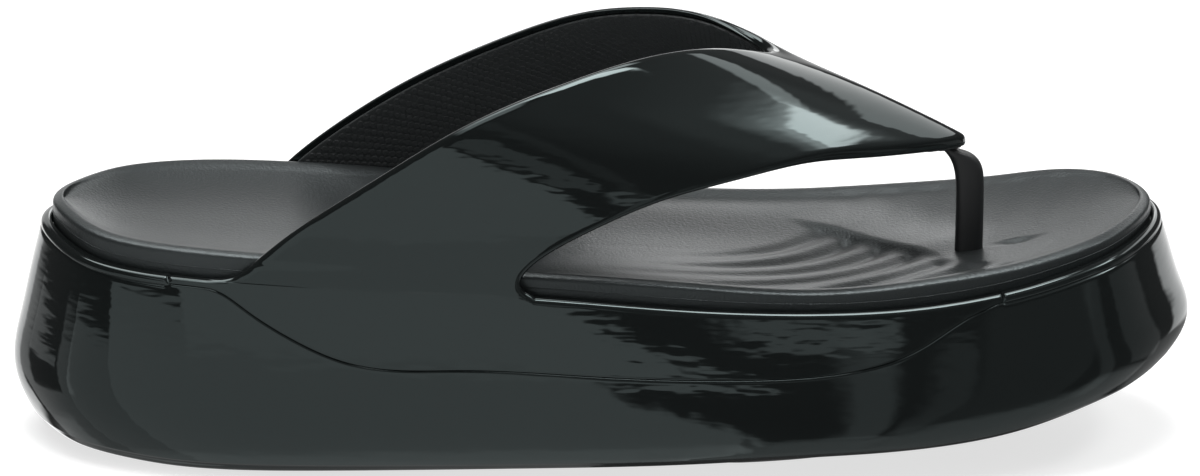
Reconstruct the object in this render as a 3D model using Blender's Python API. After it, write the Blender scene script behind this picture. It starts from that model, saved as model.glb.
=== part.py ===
"""A platform flip-flop for the left foot: sole, footbed, V strap with side flanges, and toe post.

Sizes and tables are in millimetres, +X to the toe, -Y to the inner side of the foot, +Z up.
"""
import bpy
import bmesh
import numpy as np

MM = 0.001

# Walls and clearances
GAP = 0.3               # between pieces that meet
WALL = 3.0              # strap and flange
TONGUE = 1.4            # the toe post's layer under the strap
TRAY_DEPTH = 2.5        # footbed below the rim of the sole
EDGE_ROUND = 0.6        # rounding of the upper's edges
EDGE_ANGLE = 50.0       # edges sharper than this many degrees are rounded
STEP_WIDTH = 0.45       # plan width of the wall at each end of a flange recess

# How finely the curved pieces are divided
STATIONS = 46           # along the shoe, heel to toe
STATION_CLEARANCE = 2.2 # between a regular station and one at the end of a flange or arm
FLANGE_STEPS = 5        # from a flange's lower line to the rim
STRAP_STEPS = 2         # rows for each section of the strap
BED_COLUMNS = 9         # across the footbed
CAP_COLUMNS = 3         # across the sole's underside and tray
EDGE_SEGMENTS = 2       # in each rounded edge
WALL_PARTS = (0.0, 0.15, 0.32, 0.55, 0.8, 1.0)  # rings of the side wall, as parts of its height

# Plan of the footbed: half widths on the inner and outer side of the foot
PLAN_COLUMNS = ("x", "inner", "outer")
PLAN_ROWS = (
    (-124.5, 0.0, 0.0),
    (-121.0, 13.6, 14.0),
    (-114.0, 24.6, 25.6),
    (-105.0, 31.2, 33.0),
    (-95.0, 35.4, 37.4),
    (-85.0, 37.8, 39.8),
    (-70.0, 39.8, 41.2),
    (-40.0, 42.4, 41.6),
    (-15.0, 44.0, 42.0),
    (15.0, 45.3, 44.0),
    (45.0, 45.7, 46.0),
    (60.0, 45.2, 45.6),
    (75.0, 43.6, 43.0),
    (93.0, 40.0, 37.6),
    (105.0, 35.2, 32.4),
    (114.0, 28.6, 26.2),
    (120.0, 19.4, 19.6),
    (125.2, 0.0, 0.0),
)

# Side view: the underside, its turned-up edge, the crease above it, the rim of the sole,
# the footbed's rim on the inner and outer side of the foot, and its floor half way between them
HEIGHT_COLUMNS = ("x", "contact", "edge", "crease", "rim", "inner_rim", "outer_rim", "floor")
HEIGHT_ROWS = (
    (-124.5, 0.0, 2.7, 4.9, 49.6, 53.7, 53.7, 52.0),
    (-114.0, 0.0, 2.1, 4.2, 46.8, 51.6, 53.4, 49.4),
    (-95.0, 0.0, 1.1, 3.2, 45.0, 50.2, 52.5, 47.6),
    (-60.0, 0.0, 1.5, 3.3, 43.7, 48.5, 50.3, 45.4),
    (-15.0, 0.0, 3.1, 4.6, 42.4, 46.3, 46.7, 42.8),
    (20.0, -0.3, 4.5, 5.8, 40.0, 44.2, 44.0, 41.0),
    (48.0, 1.2, 6.3, 7.4, 39.3, 42.8, 43.4, 40.2),
    (75.0, 5.2, 8.0, 9.2, 40.7, 45.0, 45.7, 42.2),
    (95.0, 9.5, 11.2, 12.6, 44.0, 47.7, 49.0, 45.4),
    (112.0, 14.5, 15.8, 17.2, 48.0, 51.1, 52.6, 49.2),
    (125.2, 18.2, 19.0, 20.4, 50.9, 53.7, 53.7, 51.8),
)
ROCKER_X = 20.0         # the underside is flat behind this place

# Side wall of the sole from the crease (share 0) to the rim (share 1): how far it stands
# out from the footbed along the sides of the shoe, round its heel and round its toe
WALL_COLUMNS = ("share", "side", "heel", "toe")
WALL_ROWS = (
    (0.0, 4.8, 6.2, 5.6),
    (0.12, 6.5, 8.7, 8.1),
    (0.27, 7.4, 9.9, 9.2),
    (0.5, 6.8, 8.0, 7.0),
    (0.75, 5.3, 5.3, 4.5),
    (1.0, 3.5, 2.3, 2.0),
)
END_POWER = 4           # how sharply the wall of the sides turns into that of the ends

# Lower line of the flange along the side of the sole, from its narrow tail behind the arm
FLANGE_COLUMNS = ("x", "line")
FLANGE_ROWS = (
    (-94.0, 43.5),
    (-88.0, 43.2),
    (-83.0, 42.2),
    (-78.0, 39.0),
    (-67.0, 32.4),
    (-56.0, 27.9),
    (-30.0, 26.5),
    (0.0, 25.5),
    (35.0, 25.1),
    (57.0, 27.2),
    (70.0, 31.7),
    (80.0, 37.7),
    (87.5, 40.9),
)
FLANGE_REAR_X = FLANGE_ROWS[0][0]
FLANGE_FRONT_X = FLANGE_ROWS[-1][0]
ARM_REAR_X = -86.0
ARM_FRONT_X = -14.0

# Sections of the strap from the inner arm over the instep to the outer arm, each with a point
# on its rear edge, one half way across and one on its front edge
STRAP_COLUMNS = (
    "rear_x", "rear_y", "rear_z", "middle_x", "middle_y", "middle_z", "front_x", "front_y", "front_z",
)
STRAP_ROWS = (
    (-79.5, -42.1, 46.3, -47.0, -45.6, 46.3, -17.4, -47.4, 45.6),
    (-69.0, -42.4, 55.0, -40.0, -45.9, 53.7, -12.5, -47.8, 51.5),
    (-50.0, -42.0, 67.5, -23.5, -45.5, 63.6, -0.5, -47.5, 58.2),
    (-30.0, -40.6, 79.6, -5.0, -44.2, 73.0, 14.0, -46.0, 64.1),
    (-10.3, -36.4, 87.8, 13.5, -40.2, 79.1, 31.0, -42.2, 68.1),
    (9.0, -27.8, 92.5, 31.0, -32.4, 82.5, 49.0, -35.2, 70.9),
    (27.0, -16.8, 92.2, 48.0, -21.8, 82.8, 66.5, -25.0, 70.1),
    (38.0, -3.6, 88.8, 60.7, -7.4, 80.2, 83.0, -9.2, 69.3),
    (27.5, 11.6, 92.8, 49.5, 4.6, 79.4, 70.0, 1.6, 69.0),
    (9.5, 22.6, 93.2, 33.0, 17.6, 81.6, 54.5, 13.4, 69.0),
    (-8.0, 30.3, 89.3, 15.0, 28.2, 79.6, 37.5, 26.2, 66.6),
    (-28.0, 37.6, 80.5, -4.5, 37.8, 72.2, 19.0, 36.9, 61.7),
    (-49.0, 42.0, 69.2, -23.5, 43.0, 62.3, 1.0, 43.4, 55.6),
    (-70.0, 44.3, 54.3, -40.0, 45.0, 52.1, -11.5, 45.6, 49.3),
    (-79.5, 44.0, 45.7, -47.0, 45.2, 45.0, -16.5, 45.8, 43.8),
)

# Lower rings of the sole: how far each stands out from the footbed, along the sides and round the ends
CONTACT_SIDE = -13.0
CONTACT_END = -6.0
EDGE_SIDE = 2.8
EDGE_END = 4.2

# Rim of the footbed: how far its edge and its crest lie inside the plan, and the dish between the crests
BED_SIDE_CHAMFER = 0.6
BED_EDGE_INSET = 0.9
BED_CREST_INSET = 2.4
BED_CREST_RISE = 0.5    # above the edge
BED_DISH_POWER = 2.4

# Toe post: a flat band that rises from the footbed and bends back into the tongue under the strap's tip.
# Each section runs from the band's front line to its rear line, up from the slot in the footbed
POST_COLUMNS = ("front_x", "front_z", "rear_x", "rear_z")
POST_ROWS = (
    (86.6, 40.6, 80.2, 40.6),
    (86.6, 58.5, 80.2, 58.5),
    (86.4, 61.6, 79.9, 61.4),
    (85.6, 63.8, 79.1, 64.0),
    (84.0, 65.4, 77.6, 66.2),
)
POST_TOP_FRONT_X = 79.8
POST_TOP_REAR_X = 73.2
POST_TOP_SINK = 0.2     # how far the last section reaches into the tongue
POST_Y = -9.4
POST_WIDTH = 5.0
POST_TOP_WIDTH = 3.4
POST_ROUND = 1.2
SLOT_DROP = 2.0         # clears the footbed below the foot of the post
SLOT_HEIGHT = 9.0       # clears it above the foot
TONGUE_REACH = 2.0      # sections of the strap to each side of its tip
TONGUE_REAR = 0.45      # share of the strap's width
TONGUE_FRONT = 0.97
LEVEL_SECTIONS = 2.0    # sections of an arm over which its thickness turns from level to square with its face

# Finishes: colour and roughness
GLOSS_BLACK = (0.012, 0.014, 0.014)
MATTE_BLACK = (0.012, 0.013, 0.014)
MATTE_GREY = (0.055, 0.060, 0.062)
SOLE_ROUGHNESS = 0.12
STRAP_ROUGHNESS = 0.10
FOOTBED_ROUGHNESS = 0.62
POST_ROUGHNESS = 0.55


def table(names, rows):
    """Return the named columns of a table."""
    return dict(zip(names, np.array(rows, dtype=float).T))


PLAN = table(PLAN_COLUMNS, PLAN_ROWS)
HEIGHTS = table(HEIGHT_COLUMNS, HEIGHT_ROWS)
SIDE_WALL = table(WALL_COLUMNS, WALL_ROWS)
FLANGE = table(FLANGE_COLUMNS, FLANGE_ROWS)
STRAP_SECTIONS = table(STRAP_COLUMNS, STRAP_ROWS)
POST = table(POST_COLUMNS, POST_ROWS)


def spline(knots, values, at):
    """Natural cubic spline through the values at the knots."""
    knots = np.asarray(knots, dtype=float)
    values = np.asarray(values, dtype=float)
    places = np.clip(np.atleast_1d(at).astype(float), knots[0], knots[-1])
    steps = np.diff(knots)
    system = np.eye(len(knots))
    pull = np.zeros_like(values)
    for k in range(1, len(knots) - 1):
        system[k, k - 1:k + 2] = steps[k - 1], 2 * (steps[k - 1] + steps[k]), steps[k]
        pull[k] = 6 * ((values[k + 1] - values[k]) / steps[k] - (values[k] - values[k - 1]) / steps[k - 1])
    bend = np.linalg.solve(system, pull.reshape(len(knots), -1)).reshape(values.shape)
    cell = np.clip(np.searchsorted(knots, places) - 1, 0, len(knots) - 2)
    shape = (-1,) + (1,) * (values.ndim - 1)
    step = steps[cell].reshape(shape)
    before = (knots[cell + 1] - places).reshape(shape)
    after = (places - knots[cell]).reshape(shape)
    result = (
        (bend[cell] * before ** 3 + bend[cell + 1] * after ** 3) / (6 * step)
        + (values[cell] / step - bend[cell] * step / 6) * before
        + (values[cell + 1] / step - bend[cell + 1] * step / 6) * after
    )
    return result if np.ndim(at) else result[0]


def height(name, x):
    return spline(HEIGHTS["x"], HEIGHTS[name], x)


def half_width(side, x):
    """Half width of the plan; its square is smooth, so that heel and toe come out round."""
    return np.sqrt(np.maximum(spline(PLAN["x"], PLAN[side] ** 2, x), 0.0))


def station_list():
    """Places along the shoe, close together at heel and toe, with the ends of flange and arm among them."""
    heel = PLAN["x"][0]
    toe = PLAN["x"][-1]
    turn = np.linspace(0.0, np.pi, STATIONS + 1)
    regular = (heel + toe) / 2 - (toe - heel) / 2 * np.cos(turn)
    fixed = np.array((
        FLANGE_REAR_X - STEP_WIDTH, FLANGE_REAR_X, ARM_REAR_X,
        ARM_FRONT_X, FLANGE_FRONT_X, FLANGE_FRONT_X + STEP_WIDTH,
    ))
    kept = [x for x in regular if np.abs(fixed - x).min() > STATION_CLEARANCE]
    return np.sort(np.concatenate((kept, fixed)))


STATION_X = station_list()
LAST = len(STATION_X) - 1


class Outline:
    """The footbed's plan as one loop: heel, inner side to the toe, then the outer side back."""

    def __init__(self):
        inner = np.column_stack((STATION_X, -half_width("inner", STATION_X)))
        outer = np.column_stack((STATION_X, half_width("outer", STATION_X)))
        self.points = np.concatenate((inner, outer[-2:0:-1]))
        along = np.roll(self.points, -1, axis=0) - np.roll(self.points, 1, axis=0)
        normals = np.column_stack((along[:, 1], -along[:, 0]))
        self.normals = normals / np.linalg.norm(normals, axis=1)[:, None]
        self.x = self.points[:, 0]
        self.endness = self.normals[:, 0] ** END_POWER
        self.flanged = (self.x > FLANGE_REAR_X - GAP) & (self.x < FLANGE_FRONT_X + GAP)

    def mix(self, side, end):
        return side + (end - side) * self.endness

    def ring(self, offset, z):
        """The loop moved out by an offset, at a height."""
        count = len(self.x)
        offset = np.broadcast_to(offset, count)
        plan = self.points + self.normals * offset[:, None]
        return np.column_stack((plan, np.broadcast_to(z, count)))

    def wall_offset(self, share):
        side = spline(SIDE_WALL["share"], SIDE_WALL["side"], share)
        heel = spline(SIDE_WALL["share"], SIDE_WALL["heel"], share)
        toe = spline(SIDE_WALL["share"], SIDE_WALL["toe"], share)
        return self.mix(side, np.where(self.x < 0.0, heel, toe))

    def wall_height(self, share):
        low = height("crease", self.x)
        return low + share * (height("rim", self.x) - low)

    def wall_share(self, z):
        low = height("crease", self.x)
        return (z - low) / (height("rim", self.x) - low)


OUTLINE = Outline()


def flange_line():
    """Share of the side wall where the flange begins, all round the loop."""
    return OUTLINE.wall_share(spline(FLANGE["x"], FLANGE["line"], OUTLINE.x))


def make_object(name, vertices, faces, material):
    """A closed mesh in metres with its faces turned outwards."""
    mesh = bpy.data.meshes.new(name)
    mesh.from_pydata([tuple(point) for point in np.asarray(vertices) * MM], [], faces)
    body = bmesh.new()
    body.from_mesh(mesh)
    bmesh.ops.recalc_face_normals(body, faces=body.faces[:])
    body.to_mesh(mesh)
    body.free()
    mesh.shade_smooth()
    piece = bpy.data.objects.new(name, mesh)
    bpy.context.scene.collection.objects.link(piece)
    if material is not None:
        mesh.materials.append(material)
    return piece


def make_material(name, colour, roughness):
    material = bpy.data.materials.new(name)
    material.use_nodes = True
    shader = material.node_tree.nodes["Principled BSDF"]
    shader.inputs["Base Color"].default_value = (*colour, 1.0)
    shader.inputs["Roughness"].default_value = roughness
    shader.inputs["Metallic"].default_value = 0.0
    return material


def cap_rows(first, columns, crown, vertices):
    """Rows of vertex numbers across a ring whose first vertex is given; crown lifts the inner ones."""
    loop = 2 * LAST
    rows = []
    for k in range(1, LAST):
        inner = first + k
        outer = first + loop - k
        row = [inner]
        for c in range(1, columns):
            share = c / columns
            point = vertices[inner] * (1 - share) + vertices[outer] * share
            point[2] += crown(k, 2 * share - 1)
            vertices.append(point)
            row.append(len(vertices) - 1)
        row.append(outer)
        rows.append(row)
    return rows


def cap_faces(first, rows):
    heel = first
    toe = first + LAST
    faces = []
    for c in range(len(rows[0]) - 1):
        faces.append((heel, rows[0][c], rows[0][c + 1]))
        faces.append((toe, rows[-1][c + 1], rows[-1][c]))
    for low, high in zip(rows, rows[1:]):
        for c in range(len(low) - 1):
            faces.append((low[c], high[c], high[c + 1], low[c + 1]))
    return faces


def loft(name, rings, material, bottom_crown, top_crown, columns):
    """A solid from rings stacked from the bottom to the top, closed by a cap at each end."""
    loop = 2 * LAST
    vertices = [np.array(point) for ring in rings for point in ring]
    faces = []
    for r in range(len(rings) - 1):
        for k in range(loop):
            low = r * loop + k
            beside = r * loop + (k + 1) % loop
            faces.append((low, beside, beside + loop, low + loop))
    for first, crown in ((0, bottom_crown), ((len(rings) - 1) * loop, top_crown)):
        faces += cap_faces(first, cap_rows(first, columns, crown, vertices))
    return make_object(name, vertices, faces, material)


def level(_row, _across):
    return 0.0


def make_sole(material):
    """Platform with a crowned underside, a creased lower edge, flared sides and a tray.

    Where a flange sits, the wall stops at the flange's lower line and steps in by the flange's thickness.
    """
    flanged = OUTLINE.flanged
    contact_z = np.where(OUTLINE.x > ROCKER_X, np.maximum(height("contact", OUTLINE.x), 0.0), 0.0)
    rim_z = height("rim", OUTLINE.x)
    tray_z = rim_z - TRAY_DEPTH
    top_share = np.where(flanged, flange_line() - GAP / (rim_z - height("crease", OUTLINE.x)), 1.0)
    top_z = OUTLINE.wall_height(top_share)
    recess = WALL + GAP
    tray_share = OUTLINE.wall_share(tray_z)
    middle_share = (top_share + tray_share) / 2
    rings = [
        OUTLINE.ring(OUTLINE.mix(CONTACT_SIDE, CONTACT_END), contact_z),
        OUTLINE.ring(OUTLINE.mix(EDGE_SIDE, EDGE_END), height("edge", OUTLINE.x)),
    ]
    for part in WALL_PARTS:
        share = top_share * part
        rings.append(OUTLINE.ring(OUTLINE.wall_offset(share), OUTLINE.wall_height(share)))
    step_offset = np.where(flanged, OUTLINE.wall_offset(top_share) - recess, GAP)
    middle_offset = np.where(flanged, OUTLINE.wall_offset(middle_share) - recess, GAP)
    middle_z = np.where(flanged, OUTLINE.wall_height(middle_share), (rim_z + tray_z) / 2)
    tray_offset = np.where(flanged, OUTLINE.wall_offset(tray_share) - recess, GAP)
    rings.append(OUTLINE.ring(step_offset, top_z))
    rings.append(OUTLINE.ring(middle_offset, middle_z))
    rings.append(OUTLINE.ring(tray_offset, tray_z))
    return loft("sole", rings, material, level, level, CAP_COLUMNS)


def bed_floor(row, across):
    """Dish of the footbed below the straight line between its two crests."""
    x = STATION_X[row]
    crest = (height("inner_rim", x) + height("outer_rim", x)) / 2 + BED_CREST_RISE
    depth = crest - height("floor", x)
    return -depth * (1.0 - abs(across) ** BED_DISH_POWER)


def post_section(front, rear, width, grow):
    """Chamfered outline of the post between a front and a rear point, grown on all sides."""
    forward = (front - rear) / np.linalg.norm(front - rear)
    centre = (front + rear) / 2
    a = np.linalg.norm(front - rear) / 2 + grow
    b = width / 2 + grow
    c = POST_ROUND
    corners = (
        (a - c, b), (c - a, b), (-a, b - c), (-a, c - b), (c - a, -b), (a - c, -b), (a, c - b), (a, b - c),
    )
    return [centre + forward * along + np.array((0.0, across, 0.0)) for along, across in corners]


def make_post(name, ends, grow):
    """Bar through sections given by their front and rear points and widths; a helper for other solids."""
    sections = [post_section(front, rear, width, grow) for front, rear, width in ends]
    count = len(sections[0])
    last = (len(sections) - 1) * count
    faces = [tuple(range(count)), tuple(range(last, last + count))]
    for first in range(0, last, count):
        for k in range(count):
            low = first + k
            beside = first + (k + 1) % count
            faces.append((low, beside, beside + count, low + count))
    bar = make_object(name, [point for section in sections for point in section], faces, None)
    bar.hide_render = True
    bar.display_type = "WIRE"
    return bar


def add_boolean(piece, helper, operation, purpose):
    change = piece.modifiers.new(purpose, "BOOLEAN")
    change.operation = operation
    change.solver = "EXACT"
    change.object = helper


def post_ends(drop, rise):
    """Two sections of a straight stretch of the post about its foot."""
    foot = POST["front_z"][0]
    return [
        (np.array((POST["front_x"][0], POST_Y, z)), np.array((POST["rear_x"][0], POST_Y, z)), POST_WIDTH)
        for z in (foot - drop, foot + rise)
    ]


def make_footbed(material):
    """Insole in the tray, with a rounded rim round a dished top."""
    bottom = height("rim", OUTLINE.x) - TRAY_DEPTH + GAP
    inner = OUTLINE.points[:, 1] < 0.0
    edge = np.where(inner, height("inner_rim", OUTLINE.x), height("outer_rim", OUTLINE.x))
    rings = [
        OUTLINE.ring(-BED_SIDE_CHAMFER, bottom),
        OUTLINE.ring(0.0, bottom + BED_SIDE_CHAMFER),
        OUTLINE.ring(0.0, edge - BED_EDGE_INSET),
        OUTLINE.ring(-BED_EDGE_INSET, edge),
        OUTLINE.ring(-BED_CREST_INSET, edge + BED_CREST_RISE),
    ]
    bed = loft("footbed", rings, material, level, bed_floor, BED_COLUMNS)
    slot = make_post("post_slot", post_ends(SLOT_DROP, SLOT_HEIGHT), GAP)
    add_boolean(bed, slot, "DIFFERENCE", "slot for the toe post")
    return bed


def strap_controls():
    """Rear, middle and front points of every section, with the rim of the sole at both ends."""
    base_x = np.array((ARM_REAR_X, (ARM_REAR_X + ARM_FRONT_X) / 2, ARM_FRONT_X))
    rim = spline(SIDE_WALL["share"], SIDE_WALL["side"], 1.0)
    inner = np.column_stack((base_x, -half_width("inner", base_x) - rim, height("rim", base_x)))
    outer = np.column_stack((base_x, half_width("outer", base_x) + rim, height("rim", base_x)))
    lines = [
        np.column_stack([STRAP_SECTIONS[line + axis] for axis in ("_x", "_y", "_z")])
        for line in ("rear", "middle", "front")
    ]
    return np.concatenate((inner[None], np.stack(lines, axis=1), outer[None]))


STRAP_CONTROLS = strap_controls()
STRAP_LAST = len(STRAP_CONTROLS) - 1
STRAP_TIP = STRAP_LAST / 2


def strap_surface(rows, shares):
    """Outer face of the strap: a grid of points for section numbers and shares of its width."""
    sections = spline(np.arange(STRAP_LAST + 1.0), STRAP_CONTROLS, rows)
    shares = np.asarray(shares)[None, :, None]
    rear, middle, front = (sections[:, k, None, :] for k in range(3))
    return (
        rear * (1 - shares) * (1 - 2 * shares)
        + middle * 4 * shares * (1 - shares)
        + front * shares * (2 * shares - 1)
    )


def grid_normals(points):
    """Outward unit normals of a grid whose rows cross the foot and whose columns run to the toe."""
    across = np.gradient(points, axis=0)
    along = np.gradient(points, axis=1)
    normals = np.cross(along, across)
    return normals / np.linalg.norm(normals, axis=2)[:, :, None]


def thicken(outer, inner, present):
    """Vertices and faces of a wall between two grids, where their points are present."""
    numbers = np.full(present.shape, -1)
    numbers[present] = np.arange(present.sum())
    count = int(present.sum())
    vertices = np.concatenate((outer[present], inner[present]))
    faces = []
    sides = {}
    rows, columns = present.shape
    for r in range(rows - 1):
        for c in range(columns - 1):
            quad = [numbers[r, c], numbers[r, c + 1], numbers[r + 1, c + 1], numbers[r + 1, c]]
            if min(quad) < 0:
                continue
            quad = [int(number) for number in quad]
            faces.append(tuple(quad))
            faces.append(tuple(number + count for number in reversed(quad)))
            for a, b in zip(quad, quad[1:] + quad[:1]):
                if (b, a) in sides:
                    del sides[(b, a)]
                else:
                    sides[(a, b)] = True
    for a, b in sides:
        faces.append((b, a, a + count, b + count))
    return vertices, faces


class Strap:
    """The strap's outer face and lining as grids whose columns run on from the stations of the arms."""

    def __init__(self):
        self.span = np.where((STATION_X > FLANGE_REAR_X - GAP / 2) & (STATION_X < FLANGE_FRONT_X + GAP / 2))[0]
        self.columns = STATION_X[self.span]
        self.arm = (self.columns > ARM_REAR_X - GAP) & (self.columns < ARM_FRONT_X + GAP)
        self.shares = (self.columns[self.arm] - ARM_REAR_X) / (ARM_FRONT_X - ARM_REAR_X)
        self.rows = np.arange(STRAP_STEPS * STRAP_LAST + 1) / STRAP_STEPS
        rim = OUTLINE.ring(OUTLINE.wall_offset(np.ones_like(OUTLINE.x)), height("rim", OUTLINE.x))
        self.face = strap_surface(self.rows, self.shares)
        self.face[0] = rim[self.span][self.arm]
        self.face[-1] = rim[2 * LAST - self.span][self.arm]
        facing = grid_normals(self.face)
        level_facing = facing * np.array((1.0, 1.0, 0.0))
        level_facing /= np.linalg.norm(level_facing, axis=2)[:, :, None]
        rise = np.minimum(self.rows, STRAP_LAST - self.rows)
        turn = np.clip(rise / LEVEL_SECTIONS, 0.0, 1.0)[:, None, None]
        facing = level_facing * (1 - turn) + facing * turn
        self.facing = facing / np.linalg.norm(facing, axis=2)[:, :, None]

    def layer(self, depth):
        """The strap's face moved inwards."""
        return self.face - depth * self.facing


STRAP = Strap()


def flange_rows(loop_numbers, depth):
    """Rows of one flange from its lower line to the rim, at a depth below the side wall."""
    line = flange_line()
    rows = []
    for k in range(FLANGE_STEPS + 1):
        share = line + (1.0 - line) * k / FLANGE_STEPS
        loop = OUTLINE.ring(OUTLINE.wall_offset(share) - depth, OUTLINE.wall_height(share))
        rows.append(loop[loop_numbers])
    return np.array(rows)


def upper_layer(depth):
    """Grid of the upper at a depth below its face: inner flange, strap, outer flange."""
    columns = len(STRAP.columns)
    strap = np.zeros((len(STRAP.rows), columns, 3))
    strap[:, STRAP.arm] = STRAP.layer(depth)
    inner = flange_rows(STRAP.span, depth)
    outer = flange_rows(2 * LAST - STRAP.span, depth)
    return np.concatenate((inner, strap[1:-1], outer[::-1]))


def make_upper(material):
    """Strap and side flanges in one wall; the columns of each arm run on from its flange."""
    face = upper_layer(0.0)
    lining = upper_layer(WALL)
    present = np.ones(face.shape[:2], dtype=bool)
    present[FLANGE_STEPS + 1:-FLANGE_STEPS - 1] = STRAP.arm
    upper = make_object("upper", *thicken(face, lining, present), material)
    rounding = upper.modifiers.new("rounded edges", "BEVEL")
    rounding.width = EDGE_ROUND * MM
    rounding.segments = EDGE_SEGMENTS
    rounding.limit_method = "ANGLE"
    rounding.angle_limit = np.radians(EDGE_ANGLE)
    return upper


def make_toe_post(material):
    """Band from the footbed to the strap, and the tongue that lies under the strap's tip."""
    rows = np.abs(STRAP.rows - STRAP_TIP) <= TONGUE_REACH
    columns = (STRAP.shares >= TONGUE_REAR) & (STRAP.shares <= TONGUE_FRONT)
    top = STRAP.layer(WALL + GAP)[rows][:, columns]
    under = STRAP.layer(WALL + GAP + TONGUE)[rows][:, columns]
    present = np.ones(top.shape[:2], dtype=bool)
    tongue = make_object("toe_post", *thicken(top, under, present), material)

    ridge = under[len(under) // 2]
    ends = [
        (np.array((front_x, POST_Y, front_z)), np.array((rear_x, POST_Y, rear_z)), POST_WIDTH)
        for front_x, front_z, rear_x, rear_z in zip(*(POST[name] for name in POST_COLUMNS))
    ]
    top_front, top_rear = (
        np.array((x, POST_Y, np.interp(x, ridge[:, 0], ridge[:, 2]) + POST_TOP_SINK))
        for x in (POST_TOP_FRONT_X, POST_TOP_REAR_X)
    )
    ends.append((top_front, top_rear, POST_TOP_WIDTH))
    add_boolean(tongue, make_post("post_band", ends, 0.0), "UNION", "band joined to the tongue")
    return tongue


for leftover in list(bpy.data.objects):
    bpy.data.objects.remove(leftover, do_unlink=True)

make_sole(make_material("gloss foam", GLOSS_BLACK, SOLE_ROUGHNESS))
make_footbed(make_material("matte foam", MATTE_GREY, FOOTBED_ROUGHNESS))
make_upper(make_material("gloss strap", GLOSS_BLACK, STRAP_ROUGHNESS))
make_toe_post(make_material("matte post", MATTE_BLACK, POST_ROUGHNESS))
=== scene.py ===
import math

import bmesh
import bpy
import numpy as np
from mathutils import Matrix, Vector
from mathutils.kdtree import KDTree


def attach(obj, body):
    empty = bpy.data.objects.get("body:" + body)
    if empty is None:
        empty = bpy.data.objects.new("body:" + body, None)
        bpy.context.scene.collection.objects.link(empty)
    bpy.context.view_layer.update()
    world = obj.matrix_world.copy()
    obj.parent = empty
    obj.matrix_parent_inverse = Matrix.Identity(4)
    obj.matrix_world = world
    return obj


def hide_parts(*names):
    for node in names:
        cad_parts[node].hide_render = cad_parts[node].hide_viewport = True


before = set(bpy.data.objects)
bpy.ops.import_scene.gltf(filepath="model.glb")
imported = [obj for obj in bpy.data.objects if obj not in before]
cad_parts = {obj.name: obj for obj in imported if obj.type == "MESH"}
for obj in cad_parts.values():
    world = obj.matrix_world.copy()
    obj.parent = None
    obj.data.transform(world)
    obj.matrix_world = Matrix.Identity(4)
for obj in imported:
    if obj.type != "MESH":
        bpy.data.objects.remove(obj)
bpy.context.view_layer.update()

# The sole is one platform of moulded foam, midsole and outsole in one, with a hard gloss skin.
# Its sides swell above a creased lower edge and end in a small rolled lip round the footbed.
# A recess on each side takes the flange of the upper, which is glued in flush.

# Sizes are in millimetres, which MM turns into Blender's metres
MM = 0.001
GAP = 0.3
JOINT = 0.08
WALL = 3.0
TRAY_DEPTH = 2.5
STATIONS = 260
SLOPE_STEP = 0.05
FLANGE_REAR_X = -94.0
FLANGE_FRONT_X = 87.5
STEP_WIDTH = 0.45
STATION_CLEARANCE = 0.5
ROCKER_X = 20.0
END_POWER = 4
CONTACT_SIDE = -13.0
CONTACT_END = -6.0
EDGE_SIDE = 2.8
EDGE_END = 4.2
CREASE_LEDGE = 0.5
TRAY_CHAMFER = 0.4
UNDERSIDE_PARTS = (0.35, 0.7, 0.9, 0.97)
CAP_COLUMNS = 12
WALL_RINGS = 26


def columns(names, rows):
    """The named columns of a table."""
    return dict(zip(names, np.array(rows, dtype=float).T))


# Half widths of the footbed to the inner and outer side of the foot
plan = columns(("x", "inner", "outer"), (
    (-124.5, 0.0, 0.0),
    (-121.0, 13.6, 14.0),
    (-114.0, 24.6, 25.6),
    (-105.0, 31.2, 33.0),
    (-95.0, 35.4, 37.4),
    (-85.0, 37.8, 39.8),
    (-70.0, 39.8, 41.2),
    (-40.0, 42.4, 41.6),
    (-15.0, 44.0, 42.0),
    (15.0, 45.3, 44.0),
    (45.0, 45.7, 46.0),
    (60.0, 45.2, 45.6),
    (75.0, 43.6, 43.0),
    (93.0, 40.0, 37.6),
    (105.0, 35.2, 32.4),
    (114.0, 28.6, 26.2),
    (120.0, 19.4, 19.6),
    (125.2, 0.0, 0.0),
))

# Side view: underside, its turned-up edge, the crease above it and the rim
sole_heights = columns(("x", "contact", "edge", "crease", "rim"), (
    (-124.5, 0.0, 2.7, 4.9, 49.6),
    (-114.0, 0.0, 2.1, 4.2, 46.8),
    (-95.0, 0.0, 1.1, 3.2, 45.0),
    (-60.0, 0.0, 1.5, 3.3, 43.7),
    (-15.0, 0.0, 3.1, 4.6, 42.4),
    (20.0, -0.3, 4.5, 5.8, 40.0),
    (48.0, 1.2, 6.3, 7.4, 39.3),
    (75.0, 5.2, 8.0, 9.2, 40.7),
    (95.0, 9.5, 11.2, 12.6, 44.0),
    (112.0, 14.5, 15.8, 17.2, 48.0),
    (125.2, 18.2, 19.0, 20.4, 50.9),
))

# How far the wall stands out from the footbed, from the crease (share 0) to the rim (share 1)
side_wall = columns(("share", "side", "heel", "toe"), (
    (0.0, 4.8, 6.2, 5.6),
    (0.12, 6.5, 8.7, 8.1),
    (0.27, 7.4, 9.9, 9.2),
    (0.5, 6.8, 8.0, 7.0),
    (0.75, 5.3, 5.3, 4.5),
    (1.0, 3.5, 2.3, 2.0),
))

# Lower line of the flange; its tail behind the arm is a strip along the rim
flange = columns(("x", "line"), (
    (-94.0, 43.5),
    (-88.0, 43.2),
    (-83.0, 42.2),
    (-78.0, 39.0),
    (-67.0, 32.4),
    (-56.0, 27.9),
    (-30.0, 26.5),
    (0.0, 25.5),
    (35.0, 25.1),
    (57.0, 27.2),
    (70.0, 31.7),
    (80.0, 37.7),
    (87.5, 40.9),
))

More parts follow.
